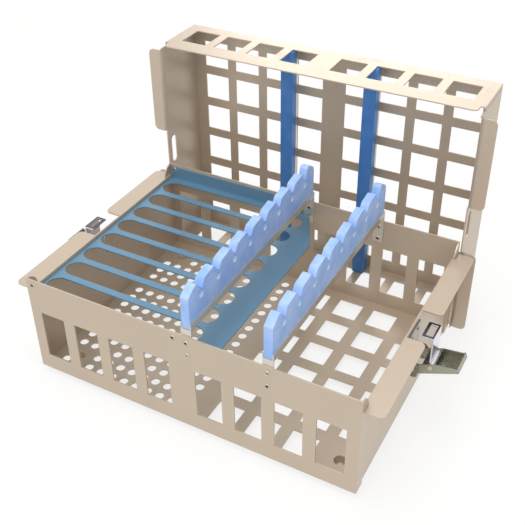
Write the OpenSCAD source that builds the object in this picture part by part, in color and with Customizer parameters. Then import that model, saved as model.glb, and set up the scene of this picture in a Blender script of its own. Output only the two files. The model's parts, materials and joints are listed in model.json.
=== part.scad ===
// Instrument cassette for sterilising: a deep perforated sheet-metal tray with a handle rack,
// two keyhole combs, a latch on each end and a lift-off lid that stands upright behind the tray.
// Origin: middle of the tray, on the surface that its feet stand on. +X along the length, -Y to the front, +Z up.

/* [Tray] */
// Length over the front wall and its returned ends
tray_l = 366; // [340:1:400]
// Depth over the front and rear walls
tray_d = 264; // [262:1:300]
// Height of the front and rear walls from the floor's underside
wall_h = 117; // [112:1:124]
// Height of the end walls, to the top of their rim flanges
end_h = 103; // [96:0.5:106]
// Thickness of every folded sheet
sheet = 1.5; // [1:0.1:1.8]
// Width of the returned ends of the front and rear walls
return_w = 14; // [8:0.5:20]
// Projection of the rim flanges past the end walls
flange_w = 20; // [17:0.5:24]
// Distance from the front and rear faces to the rim flanges
flange_inset = 3; // [1:0.5:8]
// Corner radius of the rim flanges
flange_r = 6; // [2:0.5:8]
// Width of the gap in each rim flange that the latch rises through
latch_gap = 45; // [36:1:60]

// Height of the feet that are pressed into the floor
foot_h = 7; // [3:0.5:8]
// Diameter of the feet where they leave the floor
foot_d = 16; // [14:0.5:18]
// Distance from the tray's outside to the middles of the feet
foot_inset = 28; // [26:0.5:32]

/* [Tray openings] */
// Windows on each half of the front and rear walls
wall_cols = 4; // [1:1:4]
// Width of a window in the front and rear walls
wall_win_w = 29; // [20:0.5:31]
// Height of a window in the front wall
wall_win_h = 57.6; // [30:0.1:64]
// Height of a window in the rear wall
rear_win_h = 61; // [30:0.1:64]
// Distance from the floor's underside to those windows
wall_win_z = 19.3; // [8:0.1:24]
// Bar between two windows of a wall
wall_bar = 13.3; // [11:0.1:14]
// Bar in the middle of a wall
wall_mid_bar = 28.9; // [16:0.1:30]
// Rows of square windows in the floor
floor_rows = 6; // [3:1:6]
// Pitch of the floor windows
floor_pitch = 41.7; // [38:0.1:42]
// Side of a floor window
floor_win = 28.8; // [16:0.1:32]
// Left edge of the first column of floor windows
floor_win_x = 15.6; // [8:0.1:18]
// Width of the narrow windows at the right end of the floor
floor_narrow = 14.5; // [6:0.1:18]
// Diameter of the round floor holes
hole_d = 9.6; // [6:0.1:11]
// Pitch of the round floor holes
hole_pitch = 15.1; // [14:0.1:15.6]
// Columns of round floor holes
hole_cols = 11; // [1:1:11]
// Rows of round floor holes
hole_rows = 16; // [2:2:16]

/* [Rack] */
// Height of the upper face of the rack
rack_z = 99; // [92:0.5:100]
// Thickness of the rack plate
rack_t = 1.5; // [1:0.1:2]
// Right edge of the rack
rack_right = 34.5; // [24:0.5:50]
// Handle slots in the rack and keyholes in each comb
places = 8; // [2:1:8]
// Pitch of the slots and keyholes
place_pitch = 30.8; // [28:0.1:31]
// Width of a rack slot
slot_w = 23; // [12:0.5:25]
// Length of a rack slot
slot_l = 185; // [80:1:186]
// Distance from the tray's end wall to the rack slots
slot_inset = 3.6; // [2:0.1:6]
// Height of the upstands above the rack plate
upstand_h = 15; // [14.5:0.1:17]
// Cut at the right rear corner of the rack, along the length
chamfer_x = 26; // [4:0.5:28]
// Cut at the right rear corner of the rack, along the depth
chamfer_y = 53; // [10:1:70]

/* [Combs] */
// Middle of the left comb
comb_left_x = 7.6; // [6.5:0.1:12]
// Middle of the right comb
comb_right_x = 92.4; // [70:0.1:110]
// Thickness of a comb
comb_t = 9; // [5:0.1:10]
// Room between the ends of a comb and the tray's walls
comb_gap = 0.5; // [0.2:0.1:2]
// Height of a comb to its tooth points
comb_h = 43.5; // [40:0.5:46]
// Height of the combs' undersides above the walls' rims
comb_rise = 8; // [3:0.5:10]
// Height of the keyhole centres above a comb's underside
keyhole_z = 26.3; // [14:0.1:28]
// Diameter of the round part of a keyhole
keyhole_d = 6.4; // [6:0.1:8]
// Width of the slit above a keyhole
slit_w = 1.6; // [1:0.1:3]
// Thickness of the comb channels
channel_t = 1.2; // [0.8:0.1:1.5]
// Height of the channel sides above the channel's web
channel_h = 6.5; // [4:0.5:12]
// Reach of the channels' end tabs below the walls' rims
tab_reach = 27.5; // [26:0.5:34]

/* [Lid] */
// Height of the lid, from its rim to the outside of its panel
lid_h = 72; // [66:0.5:84]
// Room between the tray and the lid's end walls
lid_side_gap = 1; // [0.6:0.1:2]
// Room between the tray and the lid's front and rear walls
lid_depth_gap = 4; // [1.2:0.1:5]
// Distance between the tray and the lid's rim while the lid stands behind
stand_gap = 1.6; // [1.4:0.1:20]
// Width of the lid windows
lid_win_w = 30.9; // [20:0.1:32]
// Height of the panel windows
lid_win_h = 30.9; // [20:0.1:34]
// Bar between two lid windows
lid_bar = 10.7; // [8:0.1:11]
// Bar in the middle of the lid
lid_mid_bar = 28.1; // [16:0.1:29]
// Rows of windows in the lid panel
lid_rows = 6; // [1:1:6]
// Pitch of the rows in the lid panel
lid_pitch = 41.9; // [36:0.1:42]
// Height of the windows in the lid's front and rear walls
lid_side_win = 34.5; // [16:0.1:36]
// Distance from the rim to those windows
lid_side_win_v = 21.8; // [18:0.1:24]
// Distance from the lid's front and rear faces to its rim wings
wing_inset = 7; // [2:0.5:12]
// Width of the gap between the two rim wings of an end wall
wing_gap = 56; // [44:1:60]
// Outer radius of the bend between an end wall and its rim wings
wing_bend = 5; // [2:0.1:6]
// Width of the corner relief at the rim of the lid
relief_w = 5; // [2:0.5:7]
// Depth of the corner relief at the rim of the lid
relief_d = 11; // [6:0.5:14]
// Width of the front and rear walls' ends that are turned over the end walls
lid_return = 4; // [2.5:0.5:6]
// Open seam between a turned end and the end wall
lid_seam = 0.5; // [0.3:0.1:1]
// Length of the latch slot in each lid end wall
lid_slot_l = 35; // [30:1:44]
// Height of the latch slot
lid_slot_h = 10; // [8:0.5:11]
// Distance from the rim to the latch slot
lid_slot_v = 7; // [6.5:0.1:7.5]

/* [Hold-down bars] */
// Distance of each hold-down bar from the middle
bar_x = 50.4; // [46:0.1:54]
// Width of the head of a hold-down bar
bar_w = 15; // [11:0.5:18]
// Projection of a hold-down bar from the lid panel
bar_h = 20; // [14:0.5:20]
// Width of a bar's foot, and of the channel that holds it
bar_foot = 8; // [6.4:0.1:9]
// Height of a bar's channel
bar_channel_h = 8; // [5:0.5:10]

/* [Latches] */
// Height of the lever pins above the floor's underside
lever_pin_z = 59.5; // [57:0.5:62]
// Distance from the end walls' outside to the lever pins
lever_pin_out = 6.5; // [6.5:0.1:8]
// Distance from a lever pin to its tongue pin
tongue_pin_r = 18.5; // [17:0.1:19]
// Length of a lever, from its pin to its tip
lever_l = 46; // [36:0.5:48]
// Width over the sides of a lever
lever_w = 27; // [20:0.5:28]
// Thickness of the lever sheet
lever_t = 1.2; // [0.8:0.1:1.5]
// Angle of an open lever above the horizontal
lever_open = 23; // [15:0.5:25]
// Diameter of the latch pins
pin_d = 3; // [2.4:0.1:3.2]
// Radial clearance of a pin in the part that turns on it
pin_fit = 0.05; // [0.02:0.01:0.1]
// Thickness of the tongue sheet
tongue_t = 1.5; // [1:0.1:1.6]
// Length of the tongue's hook
hook_l = 12.2; // [10:0.1:12.4]
// Height of an open tongue, to the top of its hook
hook_z = 101; // [100:0.1:101.5]

/* [Rivets] */
// Diameter of the rivet shanks
rivet_d = 3; // [2:0.1:3.4]
// Diameter of the rivet heads
rivet_head_d = 5.6; // [4.6:0.1:6]
// Height of the rivet heads
rivet_head_h = 0.8; // [0.5:0.1:1]

/* [Hidden] */
$fn = 48;

// Colours of the finishes
tan_metal = [0.78, 0.70, 0.60];
rack_blue = [0.45, 0.62, 0.76];
comb_blue = [0.55, 0.68, 0.92];
bar_blue = [0.30, 0.48, 0.80];
steel = [0.78, 0.78, 0.80];

// Small overlap that lets a cut pass both faces
cut = 1;
// Gap between pieces that pass without touching
clear = 0.4;

// Tray
half_l = tray_l / 2;
half_d = tray_d / 2;
end_out = half_l - sheet;
end_in = end_out - sheet;
wall_in = half_d - sheet;
flange_out = end_out + flange_w;
foot_x = half_l - foot_inset;
foot_y = half_d - foot_inset;
foot_draft = 3;
return_rise = wall_h - end_h;

// Rack
rack_left = -end_in + clear;
rack_bottom = rack_z - rack_t;
slot_left = -end_in + slot_inset;
upstand_clear = 3;
upstand_right = comb_left_x - comb_t / 2 - channel_t - upstand_clear;
rack_narrow = wall_in - channel_t - clear;
rack_rivet_z = rack_z + upstand_h - rivet_head_d / 2 - 0.5;
rack_rivet_in = 4.5;
rack_rivet_back = 6;
rack_rivet_x = [rack_left + rack_rivet_in, upstand_right - rack_rivet_back];

// Combs
comb_z = wall_h + comb_rise;
channel_w = comb_t + 2 * channel_t;
channel_bottom = comb_z - channel_t;
comb_rivet_down = 7.7;
comb_rivet_pitch = 15.2;
comb_rivet_z = [wall_h - comb_rivet_down, wall_h - comb_rivet_down - comb_rivet_pitch];
mouth_front = 6.2;
mouth_rear = 4.5;
mouth_floor = 1.5;
mouth_d = 9.3;
tooth_fall = 2.3;
corner = 2.3;
shoulder = 8;
rear_rise = 3;
rear_slope = 3.5;

// Lid
lid_half_l = half_l + lid_side_gap + sheet;
lid_d = tray_d + 2 * (lid_depth_gap + sheet);
rim_y = half_d + stand_gap;
panel_in_y = rim_y + lid_h - sheet;
wing_out = flange_out;
rim_r = 5;
bar_rivet_grip = sheet + channel_t;

// Latch, drawn for the right end
pivot_x = end_out + lever_pin_out;
bracket_t = 1.5;
cheek_gap = 0.3;
cheek_y = lever_w / 2 + cheek_gap;
bracket_below = 12.5;
bracket_above = 37.5;
bracket_low = lever_pin_z - bracket_below;
bracket_high = lever_pin_z + bracket_above;
cheek_half = 9.5;
cheek_low = lever_pin_z - cheek_half;
cheek_high = lever_pin_z + cheek_half;
cheek_over = 6;
cheek_out = pivot_x + cheek_over;
cheek_r = 4;
lever_eye = 4.5;
lever_web_start = 4;
lever_shoulder = 6;
lever_shoulder_h = 3.5;
web_t = 5.5;
lip_t = 1.5;
closed_out = end_out + lid_side_gap + 2 * sheet + 0.7;
tongue_back = pivot_x - closed_out - tongue_t;
tongue_px = pivot_x + tongue_pin_r * cos(lever_open);
tongue_pz = lever_pin_z + tongue_pin_r * sin(lever_open);
tongue_w = lever_w - 2 * lever_t - 2 * 0.5;
tongue_eye = 3;
hook_rim = 3.5;
pin_head_d = pin_d + 2;
pin_head_h = 0.6;
latch_rivet_y = lever_w / 2 - lever_t - rivet_head_d / 2 - 1;
latch_rivet_rise = [14, 32];
latch_rivet_z = [for (rise = latch_rivet_rise) lever_pin_z + rise];

// Middle of one of n places at a pitch, counted from the first
function place(i, n, pitch) = (i - (n - 1) / 2) * pitch;

// Heights of the rivets of a hold-down bar, at bars between the lid's windows
bar_rivet_z = [for (j = [0:2]) lid_d / 2 + place(j, 3, 2 * lid_pitch)];

// Left edge of a window in the half pattern right of the middle bar
function window_x(i, mid_bar, width, bar) = mid_bar / 2 + i * (width + bar);

// Plates: a flat outline given as a thickness and a place along one axis
module plate_xy(z, t) {
    translate([0, 0, z]) linear_extrude(t) children();
}

module plate_xz(y, t) {
    translate([0, y + t, 0]) rotate([90, 0, 0]) linear_extrude(t) children();
}

module plate_yz(x, t) {
    translate([x, 0, 0]) rotate([90, 0, 90]) linear_extrude(t) children();
}

// Lifts the tray's pieces from the floor's underside to the height of the feet
module on_feet() {
    translate([0, 0, foot_h]) children();
}

// Rectangle given by two opposite corners
module box_2d(low, high) {
    translate(low) square(high - low);
}

// Row of windows, the same on both sides of the middle
module window_row(n, mid_bar, width, bar, low, height) {
    for (side = [0, 1]) mirror([side, 0])
        for (i = [0:n - 1])
            translate([window_x(i, mid_bar, width, bar), low]) square([width, height]);
}

// Rivet along +Z: head below zero, shank through the grip, head above it
module rivet(grip) {
    cylinder(d = rivet_d, h = grip);
    mirror([0, 0, 1]) cylinder(d1 = rivet_head_d, d2 = 0.7 * rivet_head_d, h = rivet_head_h);
    translate([0, 0, grip]) cylinder(d1 = rivet_head_d, d2 = 0.7 * rivet_head_d, h = rivet_head_h);
}

// Both sides of the middle plane across the depth
module front_and_rear() {
    children();
    mirror([0, 1, 0]) children();
}

// Left half of the floor is drilled, the right half has square windows
module floor_outline() {
    difference() {
        box_2d([-end_out, -wall_in], [end_out, wall_in]);
        for (i = [0:hole_cols - 1], j = [0:hole_rows - 1]) {
            x = -end_in + hole_pitch + i * hole_pitch;
            y = place(j, hole_rows, hole_pitch);
            if (norm([foot_x - abs(x), foot_y - abs(y)]) > (foot_d + hole_d) / 2 + clear)
                translate([x, y]) circle(d = hole_d);
        }
        for (i = [0:2], j = [0:floor_rows - 1])
            translate([floor_win_x + i * floor_pitch, place(j, floor_rows, floor_pitch) - floor_win / 2])
                square(floor_win);
        for (j = [1:floor_rows - 2])
            translate([floor_win_x + 3 * floor_pitch, place(j, floor_rows, floor_pitch) - floor_win / 2])
                square([floor_narrow, floor_win]);
    }
}

// Foot pressed down out of the floor: a tapered cup with an open top
module foot() {
    low_d = foot_d - 2 * foot_draft;
    difference() {
        translate([0, 0, -foot_h]) cylinder(d1 = low_d, d2 = foot_d, h = foot_h + sheet);
        translate([0, 0, sheet - foot_h]) cylinder(d1 = low_d - 2 * sheet, d2 = foot_d - 2 * sheet, h = foot_h + cut);
    }
}

module base_floor() {
    color(tan_metal) on_feet() {
        difference() {
            plate_xy(0, sheet) floor_outline();
            for (x = [-foot_x, foot_x], y = [-foot_y, foot_y])
                translate([x, y, -cut]) cylinder(d = foot_d - 2 * sheet, h = sheet + 2 * cut);
        }
        for (x = [-foot_x, foot_x], y = [-foot_y, foot_y]) translate([x, y, 0]) foot();
    }
}

// Front or rear wall face, with rivet holes for the rack and the combs
module wall_outline(win_h) {
    difference() {
        box_2d([-half_l, 0], [half_l, wall_h]);
        window_row(wall_cols, wall_mid_bar, wall_win_w, wall_bar, wall_win_z, win_h);
        for (x = rack_rivet_x) translate([x, rack_rivet_z]) circle(d = rivet_d);
        for (x = [comb_left_x, comb_right_x], z = comb_rivet_z) translate([x, z]) circle(d = rivet_d);
    }
}

// End of a wall folded back round the end wall, with a rounded top
module wall_return() {
    plate_yz(end_out, sheet) {
        box_2d([-half_d, 0], [-half_d + return_w, end_h]);
        intersection() {
            translate([-half_d, end_h]) circle(r = return_rise);
            box_2d([-half_d, end_h - cut], [-half_d + return_w, wall_h]);
        }
    }
}

module front_wall(win_h) {
    plate_xz(-half_d, sheet) wall_outline(win_h);
    wall_return();
    mirror([1, 0, 0]) wall_return();
}

module base_front_wall() {
    color(tan_metal) on_feet() front_wall(wall_win_h);
}

module base_rear_wall() {
    color(tan_metal) on_feet() mirror([0, 1, 0]) front_wall(rear_win_h);
}

// One section of a rim flange, cut round the returned end of the wall
module flange_section() {
    inner = latch_gap / 2;
    outer = half_d - flange_inset;
    difference() {
        union() {
            box_2d([end_in, -outer], [flange_out - flange_r, -inner]);
            box_2d([end_in, -outer + flange_r], [flange_out, -inner - flange_r]);
            for (y = [-outer + flange_r, -inner - flange_r])
                translate([flange_out - flange_r, y]) circle(r = flange_r);
        }
        box_2d([end_in - cut, -half_d - cut], [half_l + clear, -half_d + return_w + clear]);
    }
}

module end_wall() {
    difference() {
        union() {
            plate_yz(end_in, sheet) box_2d([-wall_in, 0], [wall_in, end_h]);
            front_and_rear() plate_xy(end_h - sheet, sheet) flange_section();
        }
        for (y = [-latch_rivet_y, latch_rivet_y], z = latch_rivet_z)
            translate([end_in - cut, y, z]) rotate([0, 90, 0]) cylinder(d = rivet_d, h = sheet + 2 * cut);
        translate([0, 0, -cut]) linear_extrude(sheet + cut) box_2d([0, -half_d], [end_out + cut, half_d]);
    }
}

module base_right_end() {
    color(tan_metal) on_feet() end_wall();
}

module base_left_end() {
    color(tan_metal) on_feet() mirror([1, 0, 0]) end_wall();
}

// Rack plate: wide where it carries the upstands, clear of the channel tabs beyond them
module rack_outline() {
    difference() {
        union() {
            box_2d([rack_left, -wall_in], [upstand_right, wall_in]);
            box_2d([rack_left, -rack_narrow], [rack_right, rack_narrow]);
        }
        for (i = [0:places - 1]) translate([slot_left, place(i, places, place_pitch)]) {
            translate([slot_w / 2, 0]) circle(d = slot_w);
            translate([slot_l - slot_w / 2, 0]) circle(d = slot_w);
            box_2d([slot_w / 2, -slot_w / 2], [slot_l - slot_w / 2, slot_w / 2]);
        }
        polygon([
            [rack_right - chamfer_x, wall_in + cut],
            [rack_right + cut, wall_in + cut],
            [rack_right + cut, rack_narrow - chamfer_y],
            [rack_right, rack_narrow - chamfer_y],
            [rack_right - chamfer_x, rack_narrow]
        ]);
    }
}

module rack_upstand() {
    plate_xz(-wall_in, rack_t) difference() {
        box_2d([rack_left, rack_bottom], [upstand_right, rack_z + upstand_h]);
        for (x = rack_rivet_x) translate([x, rack_rivet_z]) circle(d = rivet_d);
    }
}

module instrument_rack() {
    color(rack_blue) on_feet() {
        plate_xy(rack_bottom, rack_t) rack_outline();
        front_and_rear() rack_upstand();
    }
}

module rack_rivets() {
    color(steel) on_feet() front_and_rear()
        for (x = rack_rivet_x)
            translate([x, -half_d, rack_rivet_z]) rotate([-90, 0, 0]) rivet(sheet + rack_t);
}

// Channel that holds a comb, with a riveted tab at each end
module comb_channel(x) {
    translate([x, 0, 0]) {
        translate([-channel_w / 2, -wall_in, channel_bottom]) cube([channel_w, 2 * wall_in, channel_t]);
        for (side = [-1, 1])
            translate([side * (channel_w - channel_t) / 2 - channel_t / 2, -wall_in, channel_bottom])
                cube([channel_t, 2 * wall_in, channel_t + channel_h]);
        front_and_rear() plate_xz(-wall_in, channel_t) difference() {
            box_2d([-channel_w / 2, wall_h - tab_reach], [channel_w / 2, comb_z]);
            for (z = comb_rivet_z) translate([0, z]) circle(d = rivet_d);
        }
    }
}

module comb_channel_left() {
    color(steel) on_feet() comb_channel(comb_left_x);
}

module comb_channel_right() {
    color(steel) on_feet() comb_channel(comb_right_x);
}

// Mouth of the keyhole at y: a slope down from the tooth before it, a floor and a steep rise
function mouth(y) = [
    [y - mouth_front - corner, comb_h],
    [y - mouth_front, comb_h - corner / 2],
    [y - mouth_floor, comb_h - mouth_d],
    [y + mouth_floor, comb_h - mouth_d]
];

// Front corner of the tooth behind the keyhole at y
function tooth_front(y) = [
    [y + mouth_rear, comb_h - tooth_fall - corner],
    [y + mouth_rear + corner, comb_h - tooth_fall]
];

// Side view of a comb: chamfered front shoulder, a tooth behind each keyhole, tall rear end
module comb_outline() {
    last = place(places - 1, places, place_pitch);
    front = comb_gap - wall_in;
    rear = wall_in - comb_gap;
    difference() {
        polygon(concat(
            [[front, 0], [front, comb_h - shoulder], [front + shoulder, comb_h - tooth_fall]],
            [for (i = [0:places - 2]) each concat(
                mouth(place(i, places, place_pitch)), tooth_front(place(i, places, place_pitch)))],
            mouth(last),
            [
                [last + mouth_rear, comb_h + rear_rise - corner],
                [last + mouth_rear + corner, comb_h + rear_rise],
                [rear - shoulder, comb_h + rear_rise - corner],
                [rear - corner, comb_h - rear_slope],
                [rear, comb_h - shoulder],
                [rear, 0]
            ]
        ));
        for (i = [0:places - 1]) translate([place(i, places, place_pitch), keyhole_z]) {
            circle(d = keyhole_d);
            box_2d([-slit_w / 2, 0], [slit_w / 2, comb_h]);
        }
    }
}

module comb(x) {
    translate([0, 0, comb_z]) plate_yz(x - comb_t / 2, comb_t) comb_outline();
}

module comb_left() {
    color(comb_blue) on_feet() comb(comb_left_x);
}

module comb_right() {
    color(comb_blue) on_feet() comb(comb_right_x);
}

module comb_rivets() {
    color(steel) on_feet() front_and_rear()
        for (x = [comb_left_x, comb_right_x], z = comb_rivet_z)
            translate([x, -half_d, z]) rotate([-90, 0, 0]) rivet(sheet + channel_t);
}

// Cylinder along Y, centred on the middle plane, at the lever pivot's height
module cross_cylinder(d, length) {
    rotate([90, 0, 0]) cylinder(d = d, h = length, center = true);
}

// Headed pin along Y
module cross_pin(length) {
    cross_cylinder(pin_d, length + 2 * pin_head_h);
    for (side = [-1, 1])
        translate([0, side * (length + pin_head_h) / 2, 0]) cross_cylinder(pin_head_d, pin_head_h);
}

module bracket() {
    difference() {
        union() {
            plate_yz(end_out, bracket_t)
                box_2d([-cheek_y - bracket_t, bracket_low], [cheek_y + bracket_t, bracket_high]);
            front_and_rear() plate_xz(cheek_y, bracket_t) {
                box_2d([end_out, cheek_low], [cheek_out - cheek_r, cheek_high]);
                box_2d([end_out, cheek_low + cheek_r], [cheek_out, cheek_high - cheek_r]);
                for (z = [cheek_low + cheek_r, cheek_high - cheek_r])
                    translate([cheek_out - cheek_r, z]) circle(r = cheek_r);
            }
        }
        translate([pivot_x, 0, lever_pin_z]) cross_cylinder(pin_d, 2 * cheek_y + 4 * bracket_t);
        for (y = [-latch_rivet_y, latch_rivet_y], z = latch_rivet_z)
            translate([end_out - cut, y, z]) rotate([0, 90, 0]) cylinder(d = rivet_d, h = bracket_t + 2 * cut);
    }
}

module latch_bracket_right() {
    color(steel) on_feet() bracket();
}

module latch_bracket_left() {
    color(steel) on_feet() mirror([1, 0, 0]) bracket();
}

module latch_rivets() {
    color(steel) on_feet()
        for (end = [0, 1], y = [-latch_rivet_y, latch_rivet_y], z = latch_rivet_z)
            mirror([end, 0, 0]) translate([end_in, y, z]) rotate([0, 90, 0]) rivet(sheet + bracket_t);
}

module lever_pin() {
    translate([pivot_x, 0, lever_pin_z]) cross_pin(2 * (cheek_y + bracket_t));
}

module lever_pin_right() {
    color(steel) on_feet() lever_pin();
}

module lever_pin_left() {
    color(steel) on_feet() mirror([1, 0, 0]) lever_pin();
}

// Side of a lever in its own plane, from the pin at zero to the tip
module lever_side() {
    circle(r = lever_eye);
    polygon([
        [0, -lever_eye],
        [lever_web_start, -web_t - lever_t],
        [lever_l, -web_t - lever_t],
        [lever_l, -web_t + 3],
        [tongue_pin_r + lever_shoulder, lever_shoulder_h],
        [0, lever_eye]
    ]);
}

// Folded lever: two sides, a web under them and a lip at the tip
module lever() {
    translate([pivot_x, 0, lever_pin_z]) rotate([0, -lever_open, 0]) difference() {
        union() {
            front_and_rear() plate_xz(lever_w / 2 - lever_t, lever_t) lever_side();
            translate([lever_web_start, -lever_w / 2, -web_t - lever_t])
                cube([lever_l - lever_web_start, lever_w, lever_t]);
            translate([lever_l - lever_t, -lever_w / 2, -web_t - lever_t])
                cube([lever_t, lever_w, web_t + lever_t - lip_t]);
        }
        cross_cylinder(pin_d + 2 * pin_fit, lever_w + 2 * cut);
        translate([tongue_pin_r, 0, 0]) cross_cylinder(pin_d, lever_w + 2 * cut);
    }
}

module latch_lever_right() {
    color(steel) on_feet() lever();
}

module latch_lever_left() {
    color(steel) on_feet() mirror([1, 0, 0]) lever();
}

module tongue_pin() {
    translate([tongue_px, 0, tongue_pz]) cross_pin(lever_w);
}

module tongue_pin_right() {
    color(steel) on_feet() tongue_pin();
}

module tongue_pin_left() {
    color(steel) on_feet() mirror([1, 0, 0]) tongue_pin();
}

// Tongue: an eye on its pin, an upright plate and a framed hook that points to the tray
module tongue() {
    back = tongue_px - tongue_back;
    difference() {
        union() {
            translate([tongue_px, 0, tongue_pz]) cross_cylinder(2 * tongue_eye, tongue_w);
            translate([back - tongue_t, -tongue_w / 2, tongue_pz])
                cube([tongue_t, tongue_w, hook_z - tongue_pz]);
            translate([back - hook_l, -tongue_w / 2, hook_z - tongue_t]) cube([hook_l, tongue_w, tongue_t]);
        }
        translate([tongue_px, 0, tongue_pz]) cross_cylinder(pin_d + 2 * pin_fit, tongue_w + 2 * cut);
        translate([back - hook_l + hook_rim, hook_rim - tongue_w / 2, hook_z - tongue_t - cut])
            cube([hook_l - tongue_t - hook_rim - 1, tongue_w - 2 * hook_rim, tongue_t + 2 * cut]);
    }
}

module latch_tongue_right() {
    color(steel) on_feet() tongue();
}

module latch_tongue_left() {
    color(steel) on_feet() mirror([1, 0, 0]) tongue();
}

// Lid, standing on its rear wall: the rim faces the tray and the panel is at the back
module lid_panel() {
    color(tan_metal) plate_xz(panel_in_y, sheet) difference() {
        box_2d([-lid_half_l + sheet, sheet], [lid_half_l - sheet, lid_d - sheet]);
        for (j = [0:lid_rows - 1])
            window_row(wall_cols, lid_mid_bar, lid_win_w, lid_bar,
                lid_d / 2 + place(j, lid_rows, lid_pitch) - lid_win_h / 2, lid_win_h);
        for (x = [-bar_x, bar_x], z = bar_rivet_z) translate([x, z]) circle(d = rivet_d);
    }
}

// Front or rear wall of the lid as seen from above: rim at zero, relieved at its rounded corners
module lid_wall_outline() {
    rim_end = lid_half_l - relief_w;
    difference() {
        union() {
            box_2d([-lid_half_l, relief_d], [lid_half_l, lid_h]);
            box_2d([-rim_end, rim_r], [rim_end, relief_d]);
            box_2d([rim_r - rim_end, 0], [rim_end - rim_r, rim_r]);
            for (x = [rim_r - rim_end, rim_end - rim_r]) translate([x, rim_r]) circle(r = rim_r);
        }
        window_row(wall_cols, lid_mid_bar, lid_win_w, lid_bar, lid_side_win_v, lid_side_win);
    }
}

// Rear wall of the lid, with its ends turned up over the end walls
module lid_wall() {
    translate([0, rim_y, 0]) {
        plate_xy(0, sheet) lid_wall_outline();
        for (side = [0, 1]) mirror([side, 0, 0])
            plate_yz(lid_half_l - sheet, sheet) box_2d([relief_d, 0], [lid_h, lid_return]);
    }
}

module lid_rear_wall() {
    color(tan_metal) lid_wall();
}

module lid_front_wall() {
    color(tan_metal) translate([0, 0, lid_d]) mirror([0, 0, 1]) lid_wall();
}

// One rim wing, in the rim plane, beyond its bend
module wing_section() {
    low = wing_inset;
    high = lid_d / 2 - wing_gap / 2;
    box_2d([lid_half_l - sheet + wing_bend, low], [wing_out - flange_r, high]);
    box_2d([wing_out - flange_r, low + flange_r], [wing_out, high - flange_r]);
    for (z = [low + flange_r, high - flange_r]) translate([wing_out - flange_r, z]) circle(r = flange_r);
}

// Quarter bend that joins an end wall to a wing
module wing_curve() {
    low = wing_inset;
    translate([lid_half_l - sheet + wing_bend, rim_y + wing_bend, low])
        linear_extrude(lid_d / 2 - wing_gap / 2 - low) intersection() {
            difference() {
                circle(r = wing_bend);
                circle(r = wing_bend - sheet);
            }
            box_2d([-wing_bend, -wing_bend], [0, 0]);
        }
}

// Latch slot with round ends, centred on the lid's height
module lid_slot_outline() {
    half = (lid_slot_l - lid_slot_h) / 2;
    translate([rim_y + lid_slot_v + lid_slot_h / 2, lid_d / 2]) {
        box_2d([-lid_slot_h / 2, -half], [lid_slot_h / 2, half]);
        for (z = [-half, half]) translate([0, z]) circle(d = lid_slot_h);
    }
}

module lid_end() {
    edge = lid_return + lid_seam;
    plate_yz(lid_half_l - sheet, sheet) difference() {
        box_2d([rim_y, edge], [rim_y + lid_h, lid_d - edge]);
        lid_slot_outline();
        for (low = [wing_inset, lid_d / 2 + wing_gap / 2])
            box_2d([rim_y - cut, low], [rim_y + wing_bend, low + lid_d / 2 - wing_gap / 2 - wing_inset]);
    }
    plate_xz(rim_y, sheet) {
        wing_section();
        translate([0, lid_d]) mirror([0, 1]) wing_section();
    }
    wing_curve();
    translate([0, 0, lid_d]) mirror([0, 0, 1]) wing_curve();
}

module lid_right_end() {
    color(tan_metal) lid_end();
}

module lid_left_end() {
    color(tan_metal) mirror([1, 0, 0]) lid_end();
}

// Channel riveted along the lid panel, open towards the tray
module bar_channel(x) {
    width = bar_foot + 2 * channel_t;
    long = lid_d - 2 * (sheet + clear);
    translate([x, panel_in_y, sheet + clear]) difference() {
        union() {
            translate([-width / 2, -channel_t, 0]) cube([width, channel_t, long]);
            for (side = [-width / 2, width / 2 - channel_t])
                translate([side, -bar_channel_h, 0]) cube([channel_t, bar_channel_h, long]);
        }
        for (z = bar_rivet_z) translate([0, cut, z - sheet - clear]) rotate([90, 0, 0])
            cylinder(d = rivet_d, h = channel_t + 2 * cut);
    }
}

module bar_channel_left() {
    color(steel) bar_channel(-bar_x);
}

module bar_channel_right() {
    color(steel) bar_channel(bar_x);
}

// Soft bar: a foot held in the channel, clear of the rivet heads, and a wider head in front
module hold_down_bar(x) {
    long = lid_d - 2 * (sheet + clear);
    foot_back = channel_t + rivet_head_h + clear;
    translate([x, panel_in_y, sheet + clear]) {
        translate([-bar_foot / 2, -bar_channel_h - cut, 0]) cube([bar_foot, bar_channel_h + cut - foot_back, long]);
        translate([-bar_w / 2, -bar_h, 0]) cube([bar_w, bar_h - bar_channel_h, long]);
    }
}

module hold_down_bar_left() {
    color(bar_blue) hold_down_bar(-bar_x);
}

module hold_down_bar_right() {
    color(bar_blue) hold_down_bar(bar_x);
}

module bar_rivets() {
    color(steel)
        for (x = [-bar_x, bar_x], z = bar_rivet_z)
            translate([x, panel_in_y - channel_t, z]) rotate([-90, 0, 0]) rivet(bar_rivet_grip);
}

base_floor();
base_front_wall();
base_rear_wall();
base_left_end();
base_right_end();
instrument_rack();
rack_rivets();
comb_channel_left();
comb_channel_right();
comb_left();
comb_right();
comb_rivets();
latch_bracket_left();
latch_bracket_right();
latch_rivets();
lever_pin_left();
lever_pin_right();
latch_lever_left();
latch_lever_right();
tongue_pin_left();
tongue_pin_right();
latch_tongue_left();
latch_tongue_right();
lid_panel();
lid_front_wall();
lid_rear_wall();
lid_left_end();
lid_right_end();
bar_channel_left();
bar_channel_right();
hold_down_bar_left();
hold_down_bar_right();
bar_rivets();
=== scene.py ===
"""Looks of a perforated instrument cassette with its lid standing behind it."""
import json
import math

import bpy
from mathutils import Matrix, Vector


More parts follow.
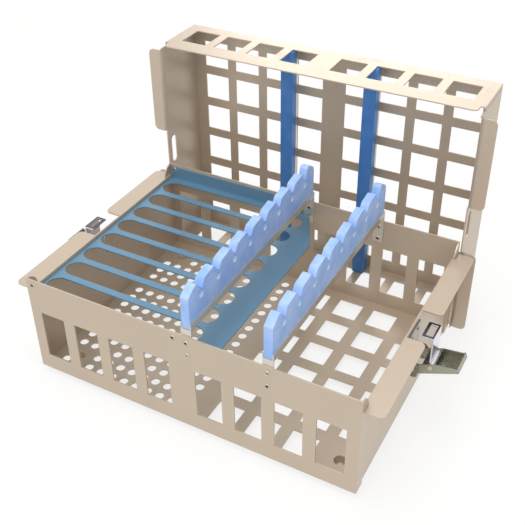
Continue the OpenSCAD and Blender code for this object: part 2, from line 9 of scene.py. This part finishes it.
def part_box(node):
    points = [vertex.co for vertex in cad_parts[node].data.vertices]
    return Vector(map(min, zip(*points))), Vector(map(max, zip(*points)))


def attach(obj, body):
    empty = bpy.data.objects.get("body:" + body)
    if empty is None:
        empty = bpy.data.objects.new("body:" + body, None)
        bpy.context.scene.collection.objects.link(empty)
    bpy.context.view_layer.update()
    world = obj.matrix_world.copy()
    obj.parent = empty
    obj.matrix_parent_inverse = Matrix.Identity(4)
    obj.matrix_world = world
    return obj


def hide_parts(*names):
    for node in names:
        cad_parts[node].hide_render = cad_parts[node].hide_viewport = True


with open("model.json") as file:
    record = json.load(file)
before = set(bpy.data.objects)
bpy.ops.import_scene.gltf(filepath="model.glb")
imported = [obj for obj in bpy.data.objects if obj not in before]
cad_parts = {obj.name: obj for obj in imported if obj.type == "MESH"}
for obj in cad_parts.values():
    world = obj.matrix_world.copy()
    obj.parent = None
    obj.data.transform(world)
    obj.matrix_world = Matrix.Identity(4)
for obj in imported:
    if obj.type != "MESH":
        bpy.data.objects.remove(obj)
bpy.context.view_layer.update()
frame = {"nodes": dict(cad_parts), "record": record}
MM = 0.001

# Breaks of the cut edges of thin sheet, rack, rivets, combs and bars, and radius of the folds
SHEET_BREAK = 0.25 * MM
RACK_BREAK = 0.3 * MM
RIVET_BREAK = 0.3 * MM
COMB_BREAK = 0.45 * MM
BAR_BREAK = 0.9 * MM
BREAK_SEGMENTS = 3
BAR_SEGMENTS = 4
FOLD = 1.4 * MM

# Distance within which places count as one, and angle within which faces count as one
SAME_PLACE = 0.05 * MM
SAME_POINT = 0.01 * MM
SAME_FACE = math.radians(0.5)

# Least angle of an edge that is broken, in degrees: on sheet, on rivets and on combs
SHEET_SHARP = 30
RIVET_SHARP = 20
COMB_SHARP = 12
# Angle up to which faces are shaded as one surface
SMOOTH_UP_TO = math.radians(40)
FLAT_FACE_WEIGHT = 90

# Face attribute that marks broken edges, for wear on metal and a painted highlight on silicone, and the slot that
# they have while they are made
EDGE_MARK = "edge_wear_and_highlight"
EDGE_SLOT = 2

TRAY = ("base_floor", "base_front_wall", "base_rear_wall", "base_left_end", "base_right_end")
LID = ("lid_panel", "lid_front_wall", "lid_rear_wall", "lid_left_end", "lid_right_end")
SIDES = ("left", "right")


# Selecting and applying

def only(piece):
    """Makes one piece the only selected and active object."""
    if bpy.context.object and bpy.context.object.mode != "OBJECT":
        bpy.ops.object.mode_set(mode="OBJECT")
    bpy.ops.object.select_all(action="DESELECT")
    piece.select_set(True)
    bpy.context.view_layer.objects.active = piece


def apply_modifier(piece, kind, **settings):
    """Adds one modifier with its settings and applies it."""
    only(piece)
    modifier = piece.modifiers.new(kind.lower(), kind)
    for name, value in settings.items():
        setattr(modifier, name, value)
    bpy.ops.object.modifier_apply(modifier=modifier.name)


def select_faces(piece, chosen):
    """Opens a piece in edit mode with only the chosen faces selected, and says how many they are."""
    only(piece)
    bpy.ops.object.mode_set(mode="EDIT")
    bpy.ops.mesh.select_mode(type="FACE")
    bpy.ops.mesh.select_all(action="DESELECT")
    bpy.ops.object.mode_set(mode="OBJECT")
    count = 0
    for face in piece.data.polygons:
        face.select = chosen(face)
        count += face.select
    bpy.ops.object.mode_set(mode="EDIT")
    return count


def body_of_node(node):
    """Name of the body that a CAD node belongs to."""
    for body, members in frame["record"]["behaviour"]["bodies"].items():
        if node in members:
            return body


def merged_copy(node):
    """Own copy of a CAD node, merged into whole flat faces, that stands for the node."""
    source = frame["nodes"][node]
    piece = source.copy()
    piece.data = source.data.copy()
    piece.name = node + "_finished"
    piece.data.name = piece.name
    bpy.context.collection.objects.link(piece)
    only(piece)
    bpy.ops.object.mode_set(mode="EDIT")
    bpy.ops.mesh.select_all(action="SELECT")
    bpy.ops.mesh.remove_doubles(threshold=SAME_POINT)
    bpy.ops.mesh.dissolve_limited(angle_limit=SAME_FACE)
    bpy.ops.object.mode_set(mode="OBJECT")
    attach(piece, body_of_node(node))
    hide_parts(node)
    return piece


def on_line(edge, mesh, fixed):
    """True where both ends of an edge lie at the given places along the given axes."""
    for index in edge.vertices:
        place = mesh.vertices[index].co
        if any(abs(place[axis] - value) > SAME_PLACE for axis, value in fixed.items()):
            return False
    return True


def round_edges(piece, width, segments=BREAK_SEGMENTS, folds=(), fold_width=None, sharp=SHEET_SHARP):
    """Breaks the sharp edges, rounds the folds more, and marks the broken edges for their wear on metal and their
    painted highlight on silicone.
    """
    mesh = piece.data
    fold_width = fold_width or width
    faces_of = {}
    for face in mesh.polygons:
        for key in face.edge_keys:
            faces_of.setdefault(key, []).append(face.normal)
    weight = mesh.attributes.new("bevel_weight_edge", "FLOAT", "EDGE")
    for edge in mesh.edges:
        normals = faces_of.get(edge.key, [])
        if len(normals) != 2 or normals[0].angle(normals[1], 0) < math.radians(sharp):
            continue
        folded = any(on_line(edge, mesh, fold) for fold in folds)
        weight.data[edge.index].value = 1.0 if folded else width / fold_width
    apply_modifier(piece, "BEVEL", width=fold_width, segments=segments, limit_method="WEIGHT", offset_type="OFFSET",
                   use_clamp_overlap=True, miter_outer="MITER_SHARP", material=EDGE_SLOT)
    mark = mesh.attributes.new(EDGE_MARK, "FLOAT", "FACE")
    for face in mesh.polygons:
        if face.material_index == EDGE_SLOT:
            mark.data[face.index].value = 1.0
            face.material_index = 0
    only(piece)
    bpy.ops.object.shade_smooth_by_angle(angle=SMOOTH_UP_TO)
    apply_modifier(piece, "WEIGHTED_NORMAL", weight=FLAT_FACE_WEIGHT, keep_sharp=True)


# Shader nodes

class Graph:
    """Node tree to which nodes are added with their settings and inputs."""

    def __init__(self, tree):
        self.tree = tree

    def add(self, kind, inputs=None, **settings):
        node = self.tree.nodes.new("ShaderNode" + kind)
        for name, value in settings.items():
            setattr(node, name, value)
        for name, value in (inputs or {}).items():
            if isinstance(value, bpy.types.NodeSocket):
                self.tree.links.new(value, node.inputs[name])
            else:
                node.inputs[name].default_value = value
        return node

    def math(self, operation, *values, clamp=False):
        return self.add("Math", dict(enumerate(values)), operation=operation, use_clamp=clamp).outputs[0]

    def noise(self, vector, scale, detail=2.0, roughness=0.5):
        return self.add("TexNoise", {"Vector": vector, "Scale": scale, "Detail": detail,
                                     "Roughness": roughness}).outputs["Fac"]

    def stretched(self, vector, scale):
        return self.add("Mapping", {"Vector": vector, "Scale": scale}).outputs["Vector"]

    def between(self, value, low, high):
        """Smooth step of a value from 0 at low to 1 at high."""
        node = self.add("MapRange", {"Value": value, "From Min": low, "From Max": high},
                        interpolation_type="SMOOTHSTEP")
        return node.outputs["Result"]

    def blend(self, factor, first, second):
        node = self.add("Mix", data_type="RGBA")
        sockets = [socket for socket in node.inputs if socket.enabled]
        for socket, value in zip(sockets, (factor, first, second)):
            if isinstance(value, bpy.types.NodeSocket):
                self.tree.links.new(value, socket)
            else:
                socket.default_value = value
        return next(socket for socket in node.outputs if socket.enabled)

    def place(self):
        return self.add("TexCoord").outputs["Object"]


class Group(Graph):
    """Shader node group with named inputs and outputs."""

    def __init__(self, name, inputs, outputs):
        super().__init__(bpy.data.node_groups.new(name, "ShaderNodeTree"))
        for label, value in inputs.items():
            kind = "NodeSocketColor" if isinstance(value, tuple) else "NodeSocketFloat"
            self.tree.interface.new_socket(name=label, socket_type=kind, in_out="INPUT").default_value = value
        for label, kind in outputs.items():
            self.tree.interface.new_socket(name=label, socket_type="NodeSocket" + kind, in_out="OUTPUT")
        self.enter = self.tree.nodes.new("NodeGroupInput").outputs
        self.leave = self.tree.nodes.new("NodeGroupOutput").inputs

    def put(self, label, socket):
        self.tree.links.new(socket, self.leave[label])


class Material(Graph):
    """Material with a Principled surface that nodes are linked to."""

    def __init__(self, name):
        self.material = bpy.data.materials.new(name)
        self.material.use_nodes = True
        super().__init__(self.material.node_tree)
        self.surface = self.tree.nodes["Principled BSDF"]

    def set(self, **values):
        for name, value in values.items():
            socket = self.surface.inputs[name.replace("_", " ")]
            if isinstance(value, bpy.types.NodeSocket):
                self.tree.links.new(value, socket)
            else:
                socket.default_value = value

    def use(self, group, **values):
        inputs = {name.replace("_", " "): value for name, value in values.items()}
        return self.add("Group", inputs, node_tree=group.tree).outputs

    def relief(self, height, strength, distance):
        bump = self.add("Bump", {"Height": height, "Strength": strength, "Distance": distance})
        self.set(Normal=bump.outputs["Normal"])


# Noise scales per metre: drawn lines along X, Y and Z, tone clouds, marks, worn patches, mottle, dust and grain
SHEET_LINES = (60, 900, 900)
CLOUD_SCALE = 14.0
MARK_SCALE = 38.0
WEAR_SCALE = 55.0
MOTTLE_SCALE = 60.0
DUST_SCALE = 420.0
GRAIN_SCALE = 1600.0

# How much marks and dust dull a surface, and how much wear polishes it
MARKS_DULL = 0.07
DUST_DULLS = 0.12
WEAR_POLISHES = 0.12

# Share of the paler tone on a broken edge, where it is a painted highlight, and in the mottle
EDGE_PAINTED_HIGHLIGHT = 0.6
MOTTLE_SHARE = 0.35

# Depth of the grain, gloss of the coat, and the light that silicone lets in
GRAIN_DEPTH = 0.1 * MM
COAT_ROUGHNESS = 0.25
SKIN_RELIEF = 0.12
GLOW = 0.3
GLOW_DEPTH = 3 * MM
GLOW_COLOR_REACH = (0.5, 0.7, 1.0)


def drawn_sheet_group():
    """Fine drawn lines along the length, clouds in the tone and soft handling marks in the gloss."""
    inputs = {"Color": (0.6, 0.5, 0.4, 1), "Cloud": 0.06, "Roughness": 0.4, "Lines": 0.05}
    group = Group("drawn_sheet", inputs, {"Color": "Color", "Roughness": "Float", "Height": "Float"})
    place = group.place()
    lines = group.noise(group.stretched(place, SHEET_LINES), 1.0, 3.0)
    clouds = group.noise(place, CLOUD_SCALE, 4.0)
    marks = group.between(group.noise(place, MARK_SCALE, 5.0, 0.65), 0.55, 0.72)
    tone = group.math("MULTIPLY_ADD", group.math("SUBTRACT", clouds, 0.5), group.enter["Cloud"], 1.0)
    shade = group.add("VectorMath", {0: group.enter["Color"], "Scale": tone}, operation="SCALE")
    group.put("Color", shade.outputs[0])
    gloss = group.math("MULTIPLY_ADD", group.math("SUBTRACT", lines, 0.5), group.enter["Lines"],
                       group.enter["Roughness"])
    group.put("Roughness", group.math("MULTIPLY_ADD", marks, MARKS_DULL, gloss))
    group.put("Height", lines)
    return group


def edge_wear_group():
    """Bare metal that shows in patches along the broken edges."""
    inputs = {"Color": (0.6, 0.5, 0.4, 1), "Bare": (0.8, 0.78, 0.75, 1), "Roughness": 0.4, "Amount": 0.6}
    group = Group("edge_wear", inputs, {"Color": "Color", "Roughness": "Float"})
    mark = group.add("Attribute", attribute_name=EDGE_MARK).outputs["Fac"]
    patches = group.between(group.noise(group.place(), WEAR_SCALE, 4.0, 0.6), 0.32, 0.62)
    worn = group.math("MULTIPLY", group.math("MULTIPLY", mark, patches), group.enter["Amount"])
    group.put("Color", group.blend(worn, group.enter["Color"], group.enter["Bare"]))
    group.put("Roughness", group.math("MULTIPLY_ADD", worn, -WEAR_POLISHES, group.enter["Roughness"]))
    return group


def moulded_skin_group():
    """Moulded silicone: mottled tone, paler broken edges that are a painted highlight, and a fine matte skin."""
    inputs = {"Color": (0.2, 0.3, 0.7, 1), "Rubbed": (0.3, 0.4, 0.8, 1), "Roughness": 0.45}
    group = Group("moulded_skin", inputs, {"Color": "Color", "Roughness": "Float", "Height": "Float"})
    place = group.place()
    mottle = group.between(group.noise(place, MOTTLE_SCALE, 5.0), 0.3, 0.7)
    mark = group.add("Attribute", attribute_name=EDGE_MARK).outputs["Fac"]
    # Paler tone: a painted highlight on the broken edges, plus random mottle
    highlight_and_mottle = group.math("MULTIPLY_ADD", mark, EDGE_PAINTED_HIGHLIGHT, group.math("MULTIPLY", mottle, MOTTLE_SHARE), clamp=True)
    group.put("Color", group.blend(highlight_and_mottle, group.enter["Color"], group.enter["Rubbed"]))
    dust = group.between(group.noise(place, DUST_SCALE, 3.0), 0.45, 0.7)
    group.put("Roughness", group.math("MULTIPLY_ADD", dust, DUST_DULLS, group.enter["Roughness"]))
    group.put("Height", group.noise(place, GRAIN_SCALE, 2.0))
    return group


DRAWN_SHEET = drawn_sheet_group()
EDGE_WEAR = edge_wear_group()
MOULDED_SKIN = moulded_skin_group()


def sheet_metal(name, color, metallic, roughness, cloud=0.08, lines=0.2, bare=(0.80, 0.77, 0.72), wear=0.6,
                coat=0.0, bump=0.02):
    """Finished sheet with drawn lines, handling marks and worn edges."""
    made = Material(name)
    sheet = made.use(DRAWN_SHEET, Color=(*color, 1), Cloud=cloud, Roughness=roughness, Lines=lines)
    worn = made.use(EDGE_WEAR, Color=sheet["Color"], Bare=(*bare, 1), Roughness=sheet["Roughness"],
                    Amount=wear)
    made.set(Base_Color=worn["Color"], Roughness=worn["Roughness"], Metallic=metallic,
             Coat_Weight=coat, Coat_Roughness=COAT_ROUGHNESS)
    made.relief(sheet["Height"], bump, GRAIN_DEPTH)
    return made.material


def silicone(name, color, highlight_and_mottle, roughness):
    """Moulded silicone, lit a little from within."""
    made = Material(name)
    skin = made.use(MOULDED_SKIN, Color=(*color, 1), Rubbed=(*highlight_and_mottle, 1), Roughness=roughness)
    made.set(Base_Color=skin["Color"], Roughness=skin["Roughness"], Subsurface_Weight=GLOW,
             Subsurface_Scale=GLOW_DEPTH, Subsurface_Radius=GLOW_COLOR_REACH)
    made.relief(skin["Height"], SKIN_RELIEF, GRAIN_DEPTH)
    return made.material


# Finishes, as linear colours

CHAMPAGNE = sheet_metal("champagne_anodised", (0.53, 0.44, 0.345), 0.45, 0.40)
RACK_BLUE = sheet_metal("blue_coated_sheet", (0.13, 0.26, 0.38), 0.30, 0.42, cloud=0.12, lines=0.1,
                        bare=(0.50, 0.64, 0.76), coat=0.2)
CHANNEL = sheet_metal("channel_sheet", (0.66, 0.62, 0.56), 0.8, 0.32)
BRACKET = sheet_metal("latch_bracket_steel", (0.28, 0.27, 0.24), 1.0, 0.26, wear=0.8)
# Steel lever, its colour darkened and tinted olive as painted shade and a painted reflection of the shaded tan end
# wall
LEVER_PAINTED_SHADE = sheet_metal("latch_lever_painted_shade", (0.36, 0.36, 0.29), 0.9, 0.28, bare=(0.82, 0.81, 0.76), wear=0.9)
TONGUE = sheet_metal("polished_tongue", (0.72, 0.72, 0.80), 0.8, 0.16, cloud=0.02, lines=0.05)
# Hook of polished steel painted near-black: painted shade and a painted dark reflection of the tray's shaded inside
HOOK_PAINTED_DARK = sheet_metal("hook_painted_dark_reflection", (0.13, 0.13, 0.15), 1.0, 0.12, cloud=0.02, lines=0.05)
RIVET = sheet_metal("rivet_heads", (0.60, 0.53, 0.44), 0.8, 0.3)
# Near-black floor of a rivet's hollow: painted shade
RIVET_HOLLOW_SHADE = sheet_metal("rivet_hollow_painted_shade", (0.055, 0.04, 0.026), 0.3, 0.6, wear=0.0)
# Second colour of each silicone: a painted highlight on its broken edges and the pale side of its mottle
COMB = silicone("periwinkle_silicone", (0.27, 0.45, 0.84), (0.62, 0.72, 0.92), 0.42)
# Pale tone on the keyholes' walls: painted light, for the lit insides of the holes
KEYHOLE_PAINTED_LIGHT = silicone("pale_bore_silicone", (0.70, 0.82, 0.97), (0.76, 0.86, 0.98), 0.5)
BAR = silicone("blue_silicone", (0.045, 0.18, 0.48), (0.10, 0.28, 0.62), 0.42)


def finish(piece, slot, *materials):
    """Gives a piece its materials; the slot is not used."""
    piece.data.materials.clear()
    for material in materials:
        piece.data.materials.append(material)


def finish_by_face(piece, slot, *materials):
    """Finishes a piece whose faces already say which of the materials they have."""
    indices = [face.material_index for face in piece.data.polygons]
    finish(piece, slot, *materials)
    for face, index in zip(piece.data.polygons, indices):
        face.material_index = index


# Tray, lid and fittings

def sheet_folds():
    """Lines along which the tray's and the lid's sheets are folded, node by node."""
    low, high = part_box("base_front_wall")
    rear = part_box("base_rear_wall")[1][1]
    end_low, end_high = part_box("base_right_end")
    lid_low, lid_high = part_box("lid_front_wall")
    lid_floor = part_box("lid_rear_wall")[0][2]
    return {
        "base_front_wall": [{0: low[0], 1: low[1]}, {0: high[0], 1: low[1]}, {1: low[1], 2: low[2]}],
        "base_rear_wall": [{0: low[0], 1: rear}, {0: high[0], 1: rear}, {1: rear, 2: low[2]}],
        "base_right_end": [{0: end_low[0], 2: end_high[2]}],
        "base_left_end": [{0: -end_low[0], 2: end_high[2]}],
        "lid_front_wall": [{1: lid_high[1], 2: lid_high[2]}, {0: lid_high[0], 2: lid_high[2]},
                           {0: lid_low[0], 2: lid_high[2]}],
        "lid_rear_wall": [{1: lid_high[1], 2: lid_floor}, {0: lid_high[0], 2: lid_floor},
                          {0: lid_low[0], 2: lid_floor}],
        "lid_right_end": [{0: lid_high[0], 1: lid_high[1]}],
        "lid_left_end": [{0: lid_low[0], 1: lid_high[1]}],
    }


def make_sheets():
    """Tray and lid sheets with rounded folds and broken edges."""
    folds = sheet_folds()
    for node in TRAY + LID:
        piece = merged_copy(node)
        round_edges(piece, SHEET_BREAK, folds=folds.get(node, ()), fold_width=FOLD)
        finish(piece, "tray_metal", CHAMPAGNE)


def make_rack():
    """Blue coated plate and its upstands."""
    piece = merged_copy("instrument_rack")
    round_edges(piece, RACK_BREAK)
    finish(piece, "rack_coating", RACK_BLUE)


# A rivet head's least area, the width of its turned rim, and the taper and depth of its hollow
HEAD_AREA = 4 * MM * MM
RIM_WIDTH = 0.25 * MM
HOLLOW_TAPER = 0.12 * MM
HOLLOW_DEPTH = 0.7 * MM
# Least share of a face's normal that lies along the axis it faces
FACING = 0.99
X_AXIS, Y_AXIS = 0, 1


def hollow_rivets(node, axis):
    """Rivets whose heads are turned over round a hollow, with painted shade on the hollow's floor."""
    piece = merged_copy(node)
    round_edges(piece, RIVET_BREAK, sharp=RIVET_SHARP)
    caps = select_faces(piece, lambda face: abs(face.normal[axis]) > FACING and face.area > HEAD_AREA)
    assert caps, node
    bpy.ops.mesh.inset(thickness=RIM_WIDTH, use_individual=True)
    bpy.ops.mesh.inset(thickness=HOLLOW_TAPER, depth=-HOLLOW_DEPTH, use_individual=True)
    bpy.ops.object.mode_set(mode="OBJECT")
    # The floors of the hollows, still selected, get the painted shade
    for face in piece.data.polygons:
        face.material_index = 1 if face.select else 0
    finish_by_face(piece, "rivet_metal", RIVET, RIVET_HOLLOW_SHADE)


def make_rivets():
    """Rivets through the long walls and the lid's panel, and through the end walls."""
    for node in ("rack_rivets", "comb_rivets", "bar_rivets"):
        hollow_rivets(node, Y_AXIS)
    hollow_rivets("latch_rivets", X_AXIS)


def keyhole_places(side):
    """Middles of the keyholes of one comb, from the record's openings."""
    boxes = [row["box_m"] for row in frame["record"]["physics"]["openings"]
             if row["name"].startswith("keyhole_" + side)]
    return [(Vector(low) + Vector(high)) / 2 for low, high in boxes]


# Radius round a keyhole's middle within which its walls carry painted light
LIT_KEYHOLE_REACH = 3.4 * MM
# Largest share of a wall's normal that lies along the keyhole
ACROSS = 0.1


def make_channel(node):
    """Thin channel that carries a comb or a bar."""
    channel = merged_copy(node)
    round_edges(channel, SHEET_BREAK)
    finish(channel, "channel_metal", CHANNEL)


def make_combs():
    """Silicone combs in their channels, with painted light on the walls of their keyholes."""
    for side in SIDES:
        make_channel("comb_channel_" + side)
        comb = merged_copy("comb_" + side)
        middles = keyhole_places(side)
        for face in comb.data.polygons:
            near = min(math.hypot(face.center.y - middle.y, face.center.z - middle.z) for middle in middles)
            # Walls across a keyhole near its middle get the painted light
            face.material_index = 1 if abs(face.normal.x) < ACROSS and near < LIT_KEYHOLE_REACH else 0
        round_edges(comb, COMB_BREAK, sharp=COMB_SHARP)
        finish_by_face(comb, "comb_silicone", COMB, KEYHOLE_PAINTED_LIGHT)


def make_bars():
    """Soft bars and the channels that hold them to the lid's panel."""
    for side in SIDES:
        make_channel("bar_channel_" + side)
        bar = merged_copy("hold_down_bar_" + side)
        round_edges(bar, BAR_BREAK, BAR_SEGMENTS)
        finish(bar, "bar_silicone", BAR)


# Length of a tongue's hook, from its top; the hook carries painted shade
HOOK_LENGTH = 13 * MM


def make_latches():
    """Brackets, levers and pins, and the tongues, whose hooks are painted near-black as painted shade and painted
    reflection.
    """
    plain = (("latch_bracket_", BRACKET, "latch_steel"), ("latch_lever_", LEVER_PAINTED_SHADE, "latch_steel"),
             ("lever_pin_", RIVET, "rivet_metal"), ("tongue_pin_", RIVET, "rivet_metal"))
    for side in SIDES:
        for name, material, slot in plain:
            piece = merged_copy(name + side)
            round_edges(piece, SHEET_BREAK)
            finish(piece, slot, material)
        tongue = merged_copy("latch_tongue_" + side)
        hook_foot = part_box("latch_tongue_" + side)[1][2] - HOOK_LENGTH
        for face in tongue.data.polygons:
            face.material_index = 1 if face.center.z > hook_foot else 0
        round_edges(tongue, SHEET_BREAK)
        finish_by_face(tongue, "tongue_steel", TONGUE, HOOK_PAINTED_DARK)


# Camera, light and ground

CAMERA_AZIMUTH = math.radians(29.32)
CAMERA_ELEVATION = math.radians(34.49)
CAMERA_ROLL = math.radians(-0.97)
CAMERA_PLACE = Vector((351.37, -613.51, 640.45)) * MM
PICTURE = 525
FOCAL = 849.31
PRINCIPAL = (253.43, 234.67)
SENSOR = 36
FAR = 20
FLOOR_SIZE = 8
FLOOR_BELOW = 0.2 * MM
FLOOR_TONE = (0.86, 0.855, 0.845, 1)
SURROUNDINGS_TONE = (1.0, 0.995, 0.985, 1)
# Share of the surroundings' white that lights surfaces, and of the floor's white that is seen
WORLD_LIGHT = 0.58
FLOOR_SHOWN_WHITE = 0.78


def make_camera():
    """Camera at the photograph's angle, its lens shifted as the picture was cropped."""
    bpy.ops.object.camera_add()
    camera = bpy.context.object
    camera.data.sensor_width = SENSOR
    camera.data.lens = FOCAL / PICTURE * SENSOR
    camera.data.shift_x = (PICTURE / 2 - PRINCIPAL[0]) / PICTURE
    camera.data.shift_y = (PRINCIPAL[1] - PICTURE / 2) / PICTURE
    camera.data.clip_end = FAR
    turn = Matrix.Rotation(CAMERA_AZIMUTH, 4, "Z") @ Matrix.Rotation(math.pi / 2 - CAMERA_ELEVATION, 4, "X")
    turn = turn @ Matrix.Rotation(CAMERA_ROLL, 4, "Z")
    camera.matrix_world = Matrix.Translation(CAMERA_PLACE) @ turn
    bpy.context.scene.camera = camera


def make_lamp(name, place, target, size, power):
    """Square soft lamp that points at a target."""
    data = bpy.data.lights.new(name, "AREA")
    data.size = size
    data.energy = power
    lamp = bpy.data.objects.new(name, data)
    bpy.context.collection.objects.link(lamp)
    lamp.location = place
    lamp.rotation_euler = (Vector(target) - Vector(place)).to_track_quat("-Z", "Y").to_euler()


def seen_directly(graph):
    """1 for camera, glossy and transmission rays, and 0 for the light that falls on surfaces."""
    path = graph.add("LightPath").outputs
    shiny = graph.math("MAXIMUM", path["Is Glossy Ray"], path["Is Transmission Ray"])
    return graph.math("MAXIMUM", path["Is Camera Ray"], shiny)


def make_world():
    """Pale surroundings: white where they are seen or mirrored, softer as light."""
    world = bpy.data.worlds.new("studio")
    bpy.context.scene.world = world
    world.use_nodes = True
    graph = Graph(world.node_tree)
    background = world.node_tree.nodes["Background"]
    background.inputs["Color"].default_value = SURROUNDINGS_TONE
    strength = graph.math("MULTIPLY_ADD", seen_directly(graph), 1.0 - WORLD_LIGHT, WORLD_LIGHT)
    world.node_tree.links.new(strength, background.inputs["Strength"])


def make_ground():
    """Pale floor that keeps the cassette's shadow."""
    bpy.ops.object.select_all(action="DESELECT")
    bpy.ops.mesh.primitive_plane_add(size=FLOOR_SIZE, location=(0, 0, -FLOOR_BELOW))
    floor = bpy.context.object
    floor.name = "studio_floor"
    bpy.ops.object.transform_apply(location=True, scale=True, rotation=True)
    made = Material("pale_floor")
    made.set(Base_Color=FLOOR_TONE, Roughness=0.9, Specular_IOR_Level=0.1)
    paper = made.add("Emission", {"Color": (1, 1, 1, 1), "Strength": 1.0})
    mix = made.add("MixShader")
    made.tree.links.new(made.math("MULTIPLY", seen_directly(made), FLOOR_SHOWN_WHITE), mix.inputs[0])
    made.tree.links.new(made.surface.outputs[0], mix.inputs[1])
    made.tree.links.new(paper.outputs[0], mix.inputs[2])
    made.tree.links.new(mix.outputs[0], made.tree.nodes["Material Output"].inputs["Surface"])
    floor.data.materials.append(made.material)


# Name, place, size and power of each soft lamp, and the point at which they aim
LAMPS_AIM = (0, 0.05, 0.1)
LAMPS = (("overhead", (-0.2, -0.1, 1.9), 1.5, 20),
         ("behind", (-0.6, 1.9, 0.70), 1.0, 10),
         ("front", (0.15, -1.7, 1.6), 1.2, 12),
         ("right", (1.8, -0.5, 1.1), 1.0, 8))


def make_light():
    """Surroundings and soft lamps."""
    make_world()
    for name, place, size, power in LAMPS:
        make_lamp(name, place, LAMPS_AIM, size, power)


make_camera()
make_light()
make_ground()
make_sheets()
make_rack()
make_rivets()
make_combs()
make_bars()
make_latches()

bpy.context.scene.view_settings.view_transform = "Standard"
